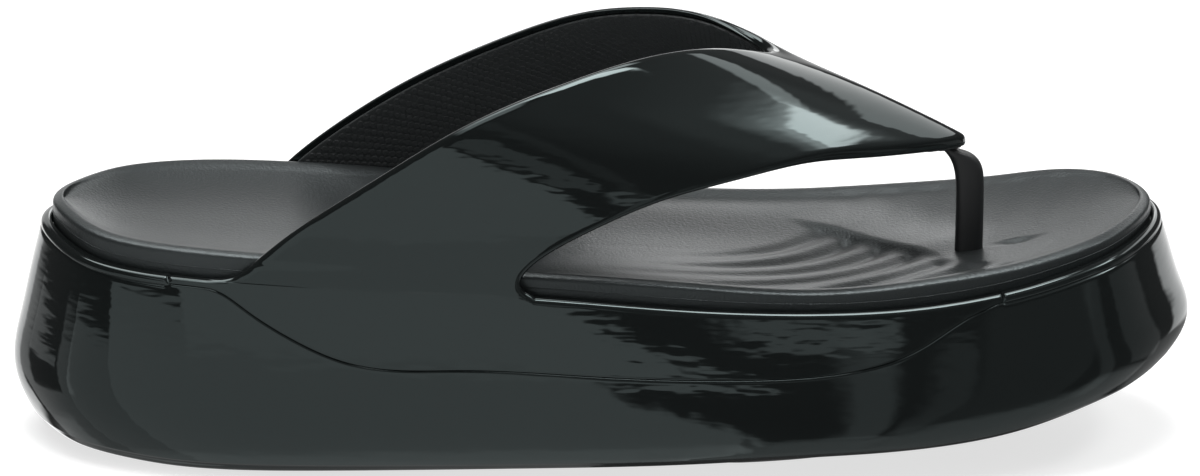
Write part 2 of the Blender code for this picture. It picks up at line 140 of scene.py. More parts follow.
# Top of the wall, as heights below it and offsets from it: the rolled lip of the open rim,
# and the rounded edge of the wall under a flange
lip = columns(("bead_drop", "bead_out", "edge_drop", "edge_out"), (
    (3.20, 0.00, 1.00, 0.00),
    (2.80, 0.00, 0.70, 0.00),
    (2.54, -0.03, 0.46, -0.01),
    (2.34, -0.10, 0.34, -0.03),
    (2.18, -0.22, 0.24, -0.06),
    (2.04, -0.38, 0.16, -0.10),
    (1.90, -0.22, 0.10, -0.15),
    (1.62, 0.04, 0.06, -0.20),
    (1.10, 0.18, 0.04, -0.26),
    (0.60, 0.08, 0.02, -0.33),
    (0.20, -0.20, 0.01, -0.42),
    (0.00, -0.70, 0.00, -0.55),
))

# Turned-up edge below the crease: share of its height, and share of the way out to the crease
turned_edge = columns(("part", "out"), (
    (0.12, 0.0),
    (0.3, 0.25),
    (0.6, 0.6),
    (0.9, 0.92),
))

# Ledge over the crease: height above it, and share of the ledge's depth
ledge = columns(("rise", "depth"), (
    (0.0, 0.75),
    (0.04, 0.45),
    (0.12, 0.18),
    (0.28, 0.04),
))

# Way down into the tray: share of its depth, drop below the open rim, and room beside the footbed
tray = columns(("part", "drop", "room"), (
    (0.0, 0.0, GAP + TRAY_CHAMFER),
    (0.5, 0.6, GAP),
    (1.0, TRAY_DEPTH, GAP),
))


def spline(knots, values, at):
    """Natural cubic spline through the values at the knots."""
    knots = np.asarray(knots, dtype=float)
    values = np.asarray(values, dtype=float)
    places = np.clip(np.atleast_1d(at).astype(float), knots[0], knots[-1])
    steps = np.diff(knots)
    system = np.eye(len(knots))
    pull = np.zeros_like(values)
    for k in range(1, len(knots) - 1):
        system[k, k - 1:k + 2] = steps[k - 1], 2 * (steps[k - 1] + steps[k]), steps[k]
        pull[k] = 6 * ((values[k + 1] - values[k]) / steps[k] - (values[k] - values[k - 1]) / steps[k - 1])
    bend = np.linalg.solve(system, pull.reshape(len(knots), -1)).reshape(values.shape)
    cell = np.clip(np.searchsorted(knots, places) - 1, 0, len(knots) - 2)
    shape = (-1,) + (1,) * (values.ndim - 1)
    step = steps[cell].reshape(shape)
    before = (knots[cell + 1] - places).reshape(shape)
    after = (places - knots[cell]).reshape(shape)
    return (
        (bend[cell] * before ** 3 + bend[cell + 1] * after ** 3) / (6 * step)
        + (values[cell] / step - bend[cell] * step / 6) * before
        + (values[cell + 1] / step - bend[cell + 1] * step / 6) * after
    )


def smooth(low, high, value):
    """0 below low, 1 above high, and an even turn between them."""
    share = np.clip((value - low) / (high - low), 0.0, 1.0)
    return share * share * (3 - 2 * share)


def half_width(side, x):
    """Half width of the plan; its square is smooth, so that heel and toe come out round."""
    return np.sqrt(np.maximum(spline(plan["x"], plan[side] ** 2, x), 0.0))


class Edge:
    """Points along the footbed's edge, with the directions that point away from it."""

    def __init__(self, points, normals):
        self.points = points
        self.normals = normals / np.linalg.norm(normals, axis=1)[:, None]
        self.x = points[:, 0]
        self.endness = self.normals[:, 0] ** END_POWER
        self.crease = spline(sole_heights["x"], sole_heights["crease"], self.x)
        self.rim = spline(sole_heights["x"], sole_heights["rim"], self.x)
        self.flange_share = self.wall_share(spline(flange["x"], flange["line"], self.x))

    def mix(self, side, end):
        return side + (end - side) * self.endness

    def ring(self, offset, z):
        """The edge moved out by an offset, at a height."""
        count = len(self.x)
        moved = self.points + self.normals * np.broadcast_to(offset, count)[:, None]
        return np.column_stack((moved, np.broadcast_to(z, count)))

    def wall_offset(self, share):
        share = np.broadcast_to(share, len(self.x))
        side = spline(side_wall["share"], side_wall["side"], share)
        heel = spline(side_wall["share"], side_wall["heel"], share)
        toe = spline(side_wall["share"], side_wall["toe"], share)
        return self.mix(side, np.where(self.x < 0.0, heel, toe))

    def wall_height(self, share):
        return self.crease + share * (self.rim - self.crease)

    def wall_share(self, z):
        return (z - self.crease) / (self.rim - self.crease)


def loop_edge(places):
    """The whole edge as one loop: heel, inner side to the toe, outer side back."""
    inner = np.column_stack((places, -half_width("inner", places)))
    outer = np.column_stack((places, half_width("outer", places)))
    points = np.concatenate((inner, outer[-2:0:-1]))
    along = np.roll(points, -1, axis=0) - np.roll(points, 1, axis=0)
    return Edge(points, np.column_stack((along[:, 1], -along[:, 0])))


def side_edge(side, x):
    """One side of the edge at given places."""
    way = -1.0 if side == "inner" else 1.0
    width = half_width(side, x)
    slope = (half_width(side, x + SLOPE_STEP) - half_width(side, x - SLOPE_STEP)) / (2 * SLOPE_STEP)
    return Edge(np.column_stack((x, way * width)), np.column_stack((-slope, np.full_like(x, way))))


def station_list(count, fixed):
    """Places along the shoe, close together at heel and toe, with some fixed ones among them."""
    heel = plan["x"][0]
    toe = plan["x"][-1]
    turn = np.linspace(0.0, np.pi, count + 1)
    regular = (heel + toe) / 2 - (toe - heel) / 2 * np.cos(turn)
    kept = [x for x in regular if all(abs(x - place) > STATION_CLEARANCE for place in fixed)]
    return np.sort(np.concatenate((kept, fixed)))


def make_piece(name, vertices, faces):
    """A closed mesh in metres with its faces turned outwards."""
    mesh = bpy.data.meshes.new(name)
    mesh.from_pydata((np.asarray(vertices) * MM).tolist(), [], faces)
    body = bmesh.new()
    body.from_mesh(mesh)
    bmesh.ops.recalc_face_normals(body, faces=body.faces[:])
    body.to_mesh(mesh)
    body.free()
    mesh.shade_smooth()
    piece = bpy.data.objects.new(name, mesh)
    bpy.context.scene.collection.objects.link(piece)
    return piece


def close_ring(ring, first, across, lift, vertices):
    """Faces over a ring: rungs from its inner to its outer side, raised by lift(x, y, share).

    The share runs from -1 at the inner side to 1 at the outer side.
    """
    last = len(ring) // 2
    shares = np.linspace(0.0, 1.0, across + 1)[1:-1]
    rungs = []
    for k in range(1, last):
        points = ring[k] * (1 - shares[:, None]) + ring[len(ring) - k] * shares[:, None]
        points[:, 2] += lift(points[:, 0], points[:, 1], 2 * shares - 1)
        start = len(vertices)
        vertices.extend(points)
        rungs.append([first + k, *range(start, start + across - 1), first + len(ring) - k])
    faces = []
    for c in range(across):
        faces.append((first, rungs[0][c], rungs[0][c + 1]))
        faces.append((first + last, rungs[-1][c + 1], rungs[-1][c]))
    for low, high in zip(rungs, rungs[1:]):
        for c in range(across):
            faces.append((low[c], high[c], high[c + 1], low[c + 1]))
    return faces


def flat_cover(x, y, share):
    """No lift, for a cover that stays flat."""
    return 0.0


def stack_rings(name, rings, across_bottom, across_top, lift_top):
    """A solid from rings stacked from the bottom to the top."""
    loop = len(rings[0])
    vertices = [point for ring in rings for point in ring]
    faces = []
    for r in range(len(rings) - 1):
        for k in range(loop):
            low = r * loop + k
            beside = r * loop + (k + 1) % loop
            faces.append((low, beside, beside + loop, low + loop))
    faces += close_ring(rings[0], 0, across_bottom, flat_cover, vertices)
    faces += close_ring(rings[-1], (len(rings) - 1) * loop, across_top, lift_top, vertices)
    return make_piece(name, vertices, faces)


def sole_rings(edge):
    """Rings of the sole from the ground up over its wall and into the tray."""
    flanged = (edge.x > FLANGE_REAR_X - GAP) & (edge.x < FLANGE_FRONT_X + GAP)
    contact_z = spline(sole_heights["x"], sole_heights["contact"], edge.x)
    contact_z = np.where(edge.x > ROCKER_X, np.maximum(contact_z, 0.0), 0.0)
    edge_z = spline(sole_heights["x"], sole_heights["edge"], edge.x)
    under = edge.mix(CONTACT_SIDE, CONTACT_END)
    lower = edge.mix(EDGE_SIDE, EDGE_END)
    crease = edge.wall_offset(0.0)
    rings = [edge.ring(under, contact_z)]
    for part in UNDERSIDE_PARTS:
        rings.append(edge.ring(under + (lower - under) * part, contact_z + (edge_z - contact_z) * part))
    band = edge.crease - edge_z
    for part, out in zip(*turned_edge.values()):
        rings.append(edge.ring(lower + (crease - CREASE_LEDGE - lower) * out, edge_z + band * part))
    for rise, depth in zip(*ledge.values()):
        rings.append(edge.ring(crease - CREASE_LEDGE * depth, edge.crease + rise))
    wall = edge.rim - edge.crease
    top_share = np.where(flanged, edge.flange_share - JOINT / wall, 1.0)
    wall_top = top_share - np.where(flanged, lip["edge_drop"][0], lip["bead_drop"][0]) / wall
    for part in np.linspace(0.0, 1.0, WALL_RINGS + 1)[1:]:
        share = wall_top * part
        rings.append(edge.ring(edge.wall_offset(share), edge.wall_height(share)))
    for bead_drop, bead_out, edge_drop, edge_out in list(zip(*lip.values()))[1:]:
        share = top_share - np.where(flanged, edge_drop, bead_drop) / wall
        out = np.where(flanged, edge_out, bead_out)
        rings.append(edge.ring(edge.wall_offset(share) + out, edge.wall_height(share)))
    tray_share = edge.wall_share(edge.rim - TRAY_DEPTH)
    for part, drop, room in zip(*tray.values()):
        share = top_share + (tray_share - top_share) * part
        offset = np.where(flanged, edge.wall_offset(share) - WALL - GAP, room)
        z = np.where(flanged, edge.wall_height(share), edge.rim - drop)
        rings.append(edge.ring(offset, z))
    return rings


def sole_edge():
    ends = (FLANGE_REAR_X - STEP_WIDTH, FLANGE_REAR_X, FLANGE_FRONT_X, FLANGE_FRONT_X + STEP_WIDTH)
    return loop_edge(station_list(STATIONS, ends))


def add_node(tree, kind, inputs=None, **settings):
    """A node with its settings, and values or links on its inputs."""
    made = tree.nodes.new(kind)
    for name, value in settings.items():
        setattr(made, name, value)
    for name, value in (inputs or {}).items():
        if isinstance(value, bpy.types.NodeSocket):
            tree.links.new(value, made.inputs[name])
        else:
            made.inputs[name].default_value = value
    return made


def new_group(name, inputs, outputs):
    """An empty shader group: inputs as name: (socket type, value), outputs as name: socket type."""
    group = bpy.data.node_groups.new(name, "ShaderNodeTree")
    for label, (kind, value) in inputs.items():
        socket = group.interface.new_socket(name=label, in_out="INPUT", socket_type=kind)
        socket.default_value = value
    for label, kind in outputs.items():
        group.interface.new_socket(name=label, in_out="OUTPUT", socket_type=kind)
    return group, group.nodes.new("NodeGroupInput"), group.nodes.new("NodeGroupOutput")


def gloss_skin_group():
    """Uneven gloss skin: a fine peel over long shallow waves."""
    group, given, result = new_group("gloss skin", {
        "Stretch": ("NodeSocketVector", (1.0, 1.0, 1.0)),
        "Peel Scale": ("NodeSocketFloat", 700.0),
        "Peel Depth": ("NodeSocketFloat", 0.00001),
        "Wave Scale": ("NodeSocketFloat", 60.0),
        "Wave Depth": ("NodeSocketFloat", 0.0001),
    }, {"Normal": "NodeSocketVector"})
    place = add_node(group, "ShaderNodeTexCoord").outputs["Object"]
    wave = add_node(group, "ShaderNodeTexNoise", {
        "Vector": place, "Scale": given.outputs["Wave Scale"], "Detail": 1.0, "Roughness": 0.4,
    })
    drawn = add_node(group, "ShaderNodeVectorMath", {
        0: place, 1: given.outputs["Stretch"],
    }, operation="MULTIPLY")
    peel = add_node(group, "ShaderNodeTexNoise", {
        "Vector": drawn.outputs["Vector"], "Scale": given.outputs["Peel Scale"],
        "Detail": 0.8, "Roughness": 0.5,
    })
    waved = add_node(group, "ShaderNodeBump", {
        "Height": wave.outputs["Fac"], "Distance": given.outputs["Wave Depth"],
    })
    peeled = add_node(group, "ShaderNodeBump", {
        "Height": peel.outputs["Fac"], "Distance": given.outputs["Peel Depth"],
        "Normal": waved.outputs["Normal"],
    })
    group.links.new(peeled.outputs["Normal"], result.inputs["Normal"])
    return group


gloss_skin = gloss_skin_group()


def new_material(name):
    """A material and its Principled shader."""
    material = bpy.data.materials.new(name)
    material.use_nodes = True
    return material, material.node_tree, material.node_tree.nodes["Principled BSDF"]


def gloss_material(name, unevenness):
    """The black gloss of sole and strap, over a skin with its own unevenness."""
    material, tree, shader = new_material(name)
    skin = add_node(tree, "ShaderNodeGroup", unevenness, node_tree=gloss_skin)
    tree.links.new(skin.outputs["Normal"], shader.inputs["Normal"])
    shader.inputs["Base Color"].default_value = (0.0055, 0.0065, 0.0065, 1.0)
    shader.inputs["Roughness"].default_value = 0.03
    shader.inputs["Specular Tint"].default_value = (0.82, 1.0, 1.0, 1.0)
    return material


def sole_material():
    return gloss_material("gloss foam", {
        "Stretch": (0.25, 0.25, 1.0),
        "Peel Scale": 560.0,
        "Peel Depth": 0.00004,
        "Wave Scale": 70.0,
        "Wave Depth": 0.0001,
    })


sole = stack_rings("platform_sole", sole_rings(sole_edge()), CAP_COLUMNS, CAP_COLUMNS, flat_cover)
sole.data.materials.append(sole_material())
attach(sole, "root")
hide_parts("sole")

# The footbed is a moulded insole of softer matte foam that lies in the sole's tray.
# It has a rounded raised rim and a dished top, arched flutes under the ball of the foot
# and a low bar behind the toes. The real insole has a slot for the toe post, which is not cut here.
BED_STATIONS = 400
BED_ACROSS = 130
BED_DISH_POWER = 2.4
BED_EASE = 0.13
BED_EDGE_SHARE = 0.55
BED_FOOT = 0.6
BED_FOOT_ROUND = 0.18
BED_SIDE_PARTS = (0.0, 0.25, 0.5, 0.75)
RELIEF_MARGIN = (0.02, 0.15)
SHOULDER_REAR = (-60.0, -20.0)
SHOULDER_FRONT = (50.0, 90.0)

# Cross profile under the strap, between those places: share of the half width from the rim,
# and share of the depth
shoulder = columns(("inside", "depth"), (
    (0.00, 0.00),
    (0.02, 0.03),
    (0.06, 0.16),
    (0.12, 0.36),
    (0.17, 0.43),
    (0.25, 0.47),
    (0.35, 0.53),
    (0.50, 0.68),
    (0.75, 0.92),
    (1.00, 1.00),
))

# Rim on the inner and outer side of the foot, and the floor half way between them
bed_heights = columns(("x", "inner", "outer", "floor"), (
    (-124.5, 53.7, 53.7, 53.5),
    (-114.0, 51.6, 53.4, 49.9),
    (-95.0, 50.2, 52.5, 47.6),
    (-60.0, 48.5, 50.3, 45.4),
    (-15.0, 46.3, 46.7, 42.8),
    (20.0, 44.2, 44.0, 41.0),
    (48.0, 42.8, 43.4, 40.2),
    (75.0, 45.0, 45.7, 42.2),
    (95.0, 47.7, 49.0, 45.4),
    (112.0, 51.1, 52.6, 49.6),
    (125.2, 53.7, 53.7, 53.6),
))

# Rounded rim: inset from the plan, and height above the rim's edge
bed_rim = columns(("inset", "lift"), (
    (0.00, -1.10),
    (0.03, -0.78),
    (0.12, -0.48),
    (0.28, -0.24),
    (0.50, -0.06),
    (0.80, 0.10),
    (1.20, 0.26),
    (1.80, 0.42),
    (2.40, 0.50),
))

# Toe bar: its line across the foot, how it fades at both ends, and its steep rear and long front slopes
BAR_OUTER = np.array((47.8, 22.6))
BAR_INNER = np.array((77.5, -12.5))
BAR_OUTER_FADE = (-6.0, 12.0)
BAR_INNER_FADE = (-10.0, 4.0)
BAR_HEIGHT = 1.35
BAR_REAR = 3.0
BAR_FRONT = 24.0

# Flutes: arcs about a point on the outer side, which rise behind the bar and end at its foot.
# Distances are measured ahead of the bar, the place along it, and turns in pitches from the first arc.
FLUTE_CENTRE = np.array((9.4, 41.2))
FLUTE_FIRST = 49.5
FLUTE_PITCH = 10.2
FLUTE_DEPTH = 1.05
FLUTE_SHARPNESS = 1.3
FLUTE_RISE = (-80.0, -22.0)
FLUTE_END = (-5.5, -1.5)
FLUTE_PLACE = (0.0, 18.0)
FLUTE_TURN_LOW = (-0.75, -0.25)
FLUTE_TURN_HIGH = (5.5, 6.5)

# Faint streaks ahead of the bar, in line with the flutes
STREAK_SHARE = 0.14
STREAK_RISE = (6.0, 18.0)

# Dent in front of the toe post: middle, and half its length and width
DENT = np.array((94.5, -9.4))
DENT_LENGTH = 8.0
DENT_WIDTH = 3.0
DENT_DEPTH = 0.7


def bed_relief(x, y):
    """Height of the bar, less the flutes and the dent, over the dished floor."""
    length = np.linalg.norm(BAR_INNER - BAR_OUTER)
    along = (BAR_INNER - BAR_OUTER) / length
    place = (x - BAR_OUTER[0]) * along[0] + (y - BAR_OUTER[1]) * along[1]
    ahead = (y - BAR_OUTER[1]) * along[0] - (x - BAR_OUTER[0]) * along[1]
    inner_place = place - length
    reach = smooth(*BAR_OUTER_FADE, place) * (1 - smooth(*BAR_INNER_FADE, inner_place))
    bar = smooth(-BAR_REAR, 0.0, ahead) * (1 - smooth(0.0, BAR_FRONT, ahead))
    turn = (np.hypot(x - FLUTE_CENTRE[0], y - FLUTE_CENTRE[1]) - FLUTE_FIRST) / FLUTE_PITCH
    groove = (0.5 + 0.5 * np.cos(2 * np.pi * turn)) ** FLUTE_SHARPNESS
    strength = smooth(*FLUTE_RISE, ahead) * (1 - smooth(*FLUTE_END, ahead)) * smooth(*FLUTE_PLACE, place)
    strength = strength + STREAK_SHARE * smooth(*STREAK_RISE, ahead)
    band = smooth(*FLUTE_TURN_LOW, turn) * (1 - smooth(*FLUTE_TURN_HIGH, turn))
    dent = 1 - smooth(0.0, 1.0, np.hypot((x - DENT[0]) / DENT_LENGTH, (y - DENT[1]) / DENT_WIDTH))
    return BAR_HEIGHT * bar * reach - FLUTE_DEPTH * groove * strength * band - DENT_DEPTH * dent


def bed_height(name, x):
    return spline(bed_heights["x"], bed_heights[name], x)


def bed_lift(x, y, share):
    """The dished floor below the line between the two crests, with its relief."""
    crest = (bed_height("inner", x) + bed_height("outer", x)) / 2 + bed_rim["lift"][-1]
    inside = 1.0 - np.abs(share)
    ease = smooth(0.0, BED_EASE, inside)
    dish = (1.0 - np.abs(share) ** BED_DISH_POWER) * (BED_EDGE_SHARE + (1.0 - BED_EDGE_SHARE) * ease)
    part = smooth(*SHOULDER_REAR, x) * (1 - smooth(*SHOULDER_FRONT, x))
    dish = dish + (spline(shoulder["inside"], shoulder["depth"], inside) - dish) * part
    return -(crest - bed_height("floor", x)) * dish + bed_relief(x, y) * smooth(*RELIEF_MARGIN, inside)


def rim_height(edge):
    """Height of the footbed's rim along its edge."""
    inner = edge.points[:, 1] < 0.0
    return np.where(inner, bed_height("inner", edge.x), bed_height("outer", edge.x))


def footbed_rings(edge):
    """Rings of the footbed from the tray up over its rim."""
    rim = rim_height(edge)
    bottom = edge.rim - TRAY_DEPTH + GAP
    low_side = bottom + BED_FOOT
    high_side = rim + bed_rim["lift"][0]
    rings = [edge.ring(-BED_FOOT, bottom), edge.ring(-BED_FOOT_ROUND, bottom + BED_FOOT_ROUND)]
    for part in BED_SIDE_PARTS:
        rings.append(edge.ring(0.0, low_side + (high_side - low_side) * part))
    for inset, lift in zip(*bed_rim.values()):
        rings.append(edge.ring(-inset, rim + lift))
    return rings


def fine_grain_group():
    """Fine grain of the matte pieces."""
    group, given, result = new_group("fine grain", {
        "Grain Scale": ("NodeSocketFloat", 1500.0),
        "Grain Depth": ("NodeSocketFloat", 0.0001),
    }, {"Normal": "NodeSocketVector"})
    place = add_node(group, "ShaderNodeTexCoord").outputs["Object"]
    grain = add_node(group, "ShaderNodeTexNoise", {
        "Vector": place, "Scale": given.outputs["Grain Scale"], "Detail": 3.0,
    })
    bump = add_node(group, "ShaderNodeBump", {
        "Height": grain.outputs["Fac"], "Distance": given.outputs["Grain Depth"],
    })
    group.links.new(bump.outputs["Normal"], result.inputs["Normal"])
    return group


fine_grain = fine_grain_group()


def matte_material(name, grain_values):
    """A matte finish with its own grain, and its shader."""
    material, tree, shader = new_material(name)
    grain = add_node(tree, "ShaderNodeGroup", grain_values, node_tree=fine_grain)
    tree.links.new(grain.outputs["Normal"], shader.inputs["Normal"])
    return material, shader


def footbed_material():
    material, shader = matte_material("matte foam", {"Grain Scale": 1500.0, "Grain Depth": 0.0001})
    shader.inputs["Base Color"].default_value = (0.016, 0.018, 0.0185, 1.0)
    shader.inputs["Roughness"].default_value = 0.36
    shader.inputs["Specular Tint"].default_value = (0.86, 0.98, 1.0, 1.0)
    return material


bed_edge_loop = loop_edge(station_list(BED_STATIONS, ()))
footbed = stack_rings("footbed_insole", footbed_rings(bed_edge_loop), CAP_COLUMNS, BED_ACROSS, bed_lift)
footbed.data.materials.append(footbed_material())
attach(footbed, "root")
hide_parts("footbed")

# A fine parting line runs round the footbed's side, where the halves of its mould met.
# It is a low bead of the footbed's own foam.
PARTING_RADIUS = 0.14
PARTING_SIDES = 8
PARTING_SHARE = 0.36


def new_geometry(name, inputs):
    """An empty geometry group with a mesh in and out and named inputs, given as name: socket type."""
    group = bpy.data.node_groups.new(name, "GeometryNodeTree")
    group.interface.new_socket(name="Geometry", in_out="INPUT", socket_type="NodeSocketGeometry")
    group.interface.new_socket(name="Geometry", in_out="OUTPUT", socket_type="NodeSocketGeometry")
    for label, kind in inputs.items():
        group.interface.new_socket(name=label, in_out="INPUT", socket_type=kind)
    return group, group.nodes.new("NodeGroupInput"), group.nodes.new("NodeGroupOutput")


def end_geometry(group, result, geometry, material):
    """The end of every geometry group: real meshes of one material."""
    real = add_node(group, "GeometryNodeRealizeInstances", {"Geometry": geometry})
    shown = add_node(group, "GeometryNodeSetMaterial", {
        "Geometry": real.outputs["Geometry"], "Material": material,
    })
    group.links.new(shown.outputs["Geometry"], result.inputs["Geometry"])


def grow(name, vertices, edges, faces, group, values):
    """A plain mesh piece grown from a guide by a geometry group."""
    guide = bpy.data.meshes.new(name)
    guide.from_pydata((np.asarray(vertices) * MM).tolist(), edges, faces)
    piece = bpy.data.objects.new(name, guide)
    bpy.context.scene.collection.objects.link(piece)
    modifier = piece.modifiers.new("grown", "NODES")
    modifier.node_group = group
    for item in group.interface.items_tree:
        if item.in_out == "INPUT" and item.name in values:
            modifier[item.identifier] = values[item.name]
    shown = piece.evaluated_get(bpy.context.evaluated_depsgraph_get())
    mesh = bpy.data.meshes.new_from_object(shown)
    piece.modifiers.clear()
    piece.data = mesh
    body = bmesh.new()
    body.from_mesh(mesh)
    bmesh.ops.recalc_face_normals(body, faces=body.faces[:])
    body.to_mesh(mesh)
    body.free()
    return piece


def bead_group(material):
    """A round bead along the edges of a guide."""
    group, given, result = new_geometry("bead", {"Radius": "NodeSocketFloat", "Sides": "NodeSocketInt"})
    path = add_node(group, "GeometryNodeMeshToCurve", {"Mesh": given.outputs["Geometry"]})
    profile = add_node(group, "GeometryNodeCurvePrimitiveCircle", {
        "Radius": given.outputs["Radius"], "Resolution": given.outputs["Sides"],
    })
    bead = add_node(group, "GeometryNodeCurveToMesh", {
        "Curve": path.outputs["Curve"], "Profile Curve": profile.outputs["Curve"],
    })
    end_geometry(group, result, bead.outputs["Mesh"], material)
    return group


def make_parting_line(edge):
    line = edge.ring(0.0, edge.rim + (rim_height(edge) - edge.rim) * PARTING_SHARE)
    count = len(line)
    edges = [(k, (k + 1) % count) for k in range(count)]
    group = bead_group(footbed.data.materials[0])
    return grow("footbed_parting_line", line, edges, [], group, {
        "Radius": PARTING_RADIUS * MM, "Sides": PARTING_SIDES,
    })


parting_line = make_parting_line(bed_edge_loop)
parting_line.data.shade_smooth()
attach(parting_line, "root")

# The upper is one moulded wall with a gloss face: a wide V strap over the instep whose two arms
# run down into long flanges. The flanges are glued into the recesses in the sides of the sole,
# and a thin tail of each runs back along the rim.
ARM_REAR_X = -86.0
ARM_FRONT_X = -14.0
SHELL = 2.2
STRAP_ROUND = 1.05
FLANGE_ROUND = 0.3
FLANGE_TOP_ROUND = 1.1
LEVEL_SECTIONS = 2.0

# The strap's rear edge and its nose are rolled; the nose fades with the sections away from the tip
ROLL_ROUND = 1.9
ROLL_COLUMNS = 0.2
NOSE_FULL = 1.4
NOSE_END = 3.0

# Spacing of the grids, which are finer along their edges
FLANGE_HEIGHT = 16.0
SECTION_STEPS = 12
COLUMN_PITCH = 1.6
ROW_PITCH = 1.3
EDGE_STEPS = np.array((0.0, 0.06, 0.16, 0.3, 0.5, 0.75, 1.05, 1.5, 2.2))
TAIL_EDGE_SCALE = 0.5
SIDE_SAMPLES = 8

# Sections from the inner arm over the instep to the outer arm: rear edge, middle and front edge
strap = columns((
    "rear_x", "rear_y", "rear_z", "middle_x", "middle_y", "middle_z", "front_x", "front_y", "front_z",
), (
    (-79.5, -42.1, 46.3, -47.0, -45.6, 46.3, -17.4, -47.4, 45.6),
    (-69.0, -42.4, 55.0, -40.0, -45.9, 53.7, -12.5, -47.8, 51.5),
    (-50.0, -42.0, 67.5, -23.5, -45.5, 63.6, -0.5, -47.5, 58.2),
    (-30.0, -40.6, 79.6, -5.0, -44.2, 73.0, 14.0, -46.0, 64.1),
    (-10.3, -36.4, 87.8, 13.5, -40.2, 79.1, 31.0, -42.2, 68.1),
    (9.0, -27.8, 92.5, 31.0, -32.4, 82.5, 49.0, -35.2, 70.9),
    (27.0, -16.8, 92.2, 48.0, -21.8, 82.8, 66.5, -25.0, 70.1),
    (38.0, -3.6, 88.8, 60.7, -7.4, 80.2, 83.0, -9.2, 69.3),
    (27.5, 11.6, 92.8, 49.5, 4.6, 79.4, 70.0, 1.6, 69.0),
    (9.5, 22.6, 93.2, 33.0, 17.6, 81.6, 54.5, 13.4, 69.0),
    (-8.0, 30.3, 89.3, 15.0, 28.2, 79.6, 37.5, 26.2, 66.6),
    (-28.0, 37.6, 80.5, -4.5, 37.8, 72.2, 19.0, 36.9, 61.7),
    (-49.0, 42.0, 69.2, -23.5, 43.0, 62.3, 1.0, 43.4, 55.6),
    (-70.0, 44.3, 54.3, -40.0, 45.0, 52.1, -11.5, 45.6, 49.3),
    (-79.5, 44.0, 45.7, -47.0, 45.2, 45.0, -16.5, 45.8, 43.8),
))


def strap_controls():
    """Rear, middle and front points of every section, with the rim of the sole at both ends."""
    base_x = np.array((ARM_REAR_X, (ARM_REAR_X + ARM_FRONT_X) / 2, ARM_FRONT_X))
    ends = []
    for side in ("inner", "outer"):
        edge = side_edge(side, base_x)
        ends.append(edge.ring(edge.wall_offset(1.0), edge.rim)[None])
    lines = [
        np.column_stack([strap[line + axis] for axis in ("_x", "_y", "_z")])
        for line in ("rear", "middle", "front")
    ]
    return np.concatenate((ends[0], np.stack(lines, axis=1), ends[1]))


STRAP_CONTROLS = strap_controls()
STRAP_LAST = len(STRAP_CONTROLS) - 1
STRAP_TIP = STRAP_LAST / 2


def strap_face(rows, shares):
    """Outer face of the strap: a grid of points for section numbers and shares of its width."""
    sections = spline(np.arange(STRAP_LAST + 1.0), STRAP_CONTROLS, rows)
    shares = np.asarray(shares)
    if shares.ndim == 1:
        shares = shares[None, :]
    shares = shares[:, :, None]
    rear, middle, front = (sections[:, k, None, :] for k in range(3))
    return (
        rear * (1 - shares) * (1 - 2 * shares)
        + middle * 4 * shares * (1 - shares)
        + front * shares * (2 * shares - 1)
    )


def strap_facing(face, rows):
    """Outward directions of a strap's grid, level at the foot of each arm."""
    normals = np.cross(np.gradient(face, axis=1), np.gradient(face, axis=0))
    normals /= np.linalg.norm(normals, axis=2)[:, :, None]
    flat = normals * np.array((1.0, 1.0, 0.0))
    flat /= np.linalg.norm(flat, axis=2)[:, :, None]
    rise = np.minimum(rows, STRAP_LAST - rows)
    turn = np.clip(rise / LEVEL_SECTIONS, 0.0, 1.0)[:, None, None]
    facing = flat * (1 - turn) + normals * turn
    return facing / np.linalg.norm(facing, axis=2)[:, :, None]


def graded(low, high, pitch, scale=1.0):
    """Places from low to high, close together at both ends."""
    fine = EDGE_STEPS * scale
    inner_low = low + fine[-1]
    inner_high = high - fine[-1]
    count = max(int(round((inner_high - inner_low) / pitch)), 1)
    inside = np.linspace(inner_low, inner_high, count + 1)
    return np.concatenate((low + fine[:-1], inside, (high - fine[:-1])[::-1]))


def rounded(distance, radius):
    """How far a rounded edge falls away at a distance from the rim of a sheet."""
    reach = np.clip(1.0 - distance / radius, 0.0, 1.0)
    return radius * (1.0 - np.sqrt(1.0 - reach ** 2))


def grid_quads(present):
    """Cells of a grid whose four corners are present."""
    quads = []
    for r in range(present.shape[0] - 1):
        for c in range(present.shape[1] - 1):
            if present[r:r + 2, c:c + 2].all():
                quads.append(((r, c), (r, c + 1), (r + 1, c + 1), (r + 1, c)))
    return quads


def open_sides(quads):
    """Sides of the quads that no other quad shares."""
    sides = {}
    for quad in quads:
        for a, b in zip(quad, quad[1:] + quad[:1]):
            if (b, a) in sides:
                del sides[(b, a)]
            else:
                sides[(a, b)] = True
    return list(sides)


def edge_distance(sides, face):
    """Distance from every point of a grid to the sides."""
    tree = KDTree(len(sides) * SIDE_SAMPLES)
    for n, (a, b) in enumerate(sides):
        for k in range(SIDE_SAMPLES):
            share = k / SIDE_SAMPLES
            tree.insert(face[a] * (1 - share) + face[b] * share, n * SIDE_SAMPLES + k)
    tree.balance()
    return np.array([[tree.find(point)[2] for point in line] for line in face])


